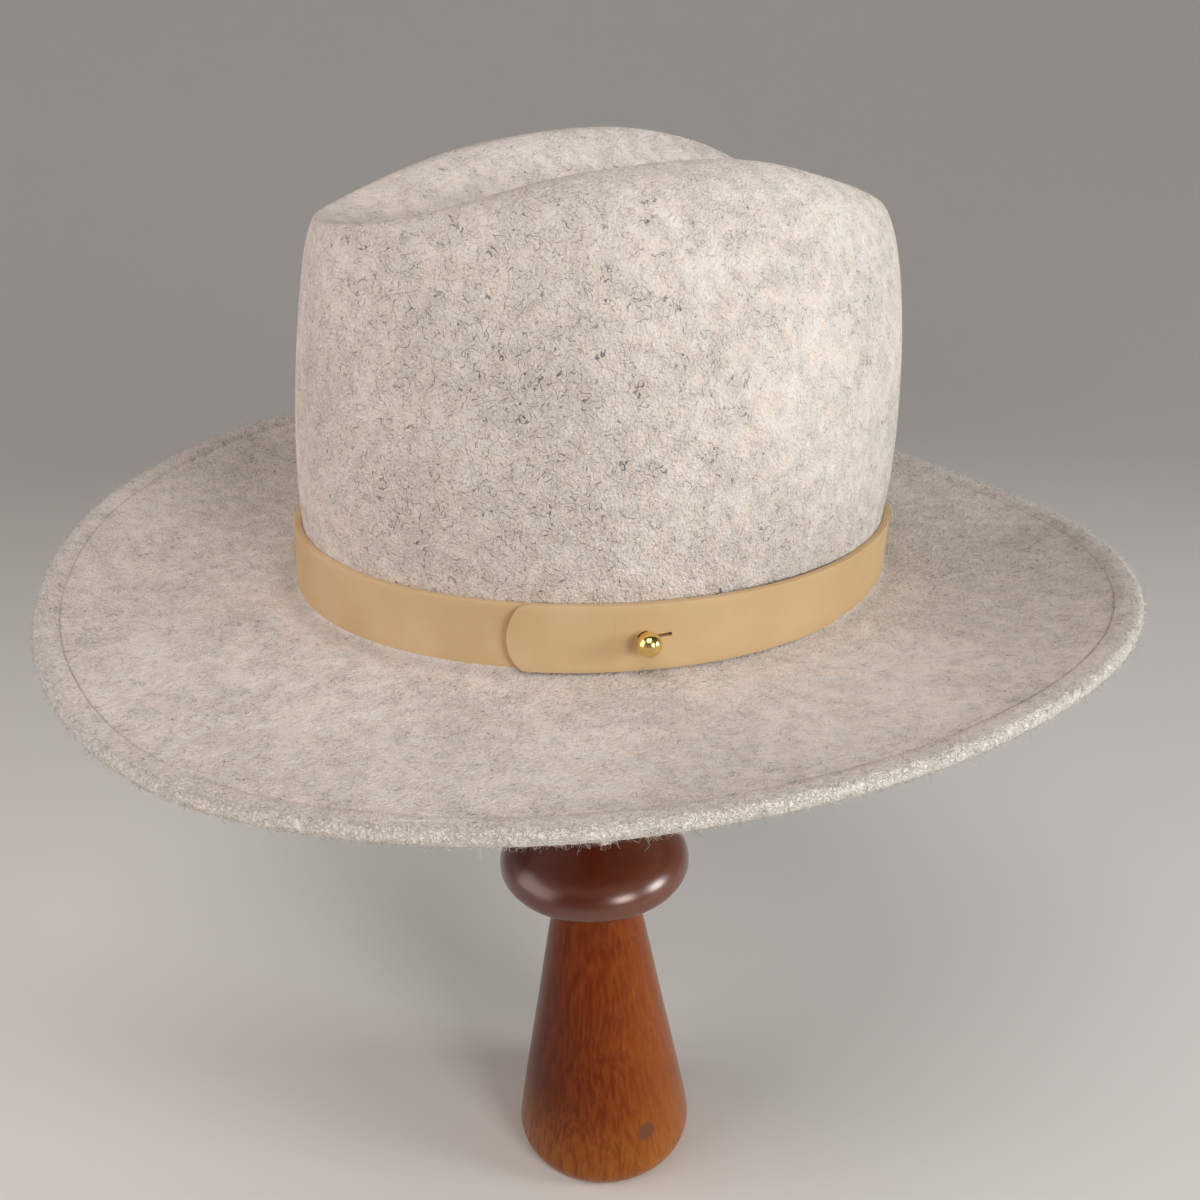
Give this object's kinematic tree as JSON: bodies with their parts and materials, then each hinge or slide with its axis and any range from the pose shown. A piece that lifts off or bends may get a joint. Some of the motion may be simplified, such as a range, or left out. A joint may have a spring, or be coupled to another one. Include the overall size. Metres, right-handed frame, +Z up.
{
  "type": "felt fedora hat on wooden stand",
  "caption": "Wide-brimmed wool felt fedora with a dented crown, folded brim edge and lapped leather strap with a ball stud, on a turned wooden stand.",
  "frame": {"origin": "middle of the stand's underside, on the surface it stands on", "axes": "+Z up along the stand's axis; -Y is the way the hat faces; +X is the wearer's left, where the strap is lapped and studded"},
  "size_m": [0.3442, 0.3519, 0.4017],
  "materials": {
    "felt": "matte heathered wool felt",
    "leather": "smooth satin",
    "brass": "polished",
    "wood": "stained, satin lacquer"
  },
  "bodies": {
    "root": {"felt_body": "felt", "leather_band": "leather", "ball_stud": "brass", "wood_stand": "wood"}
  },
  "joints": []
}
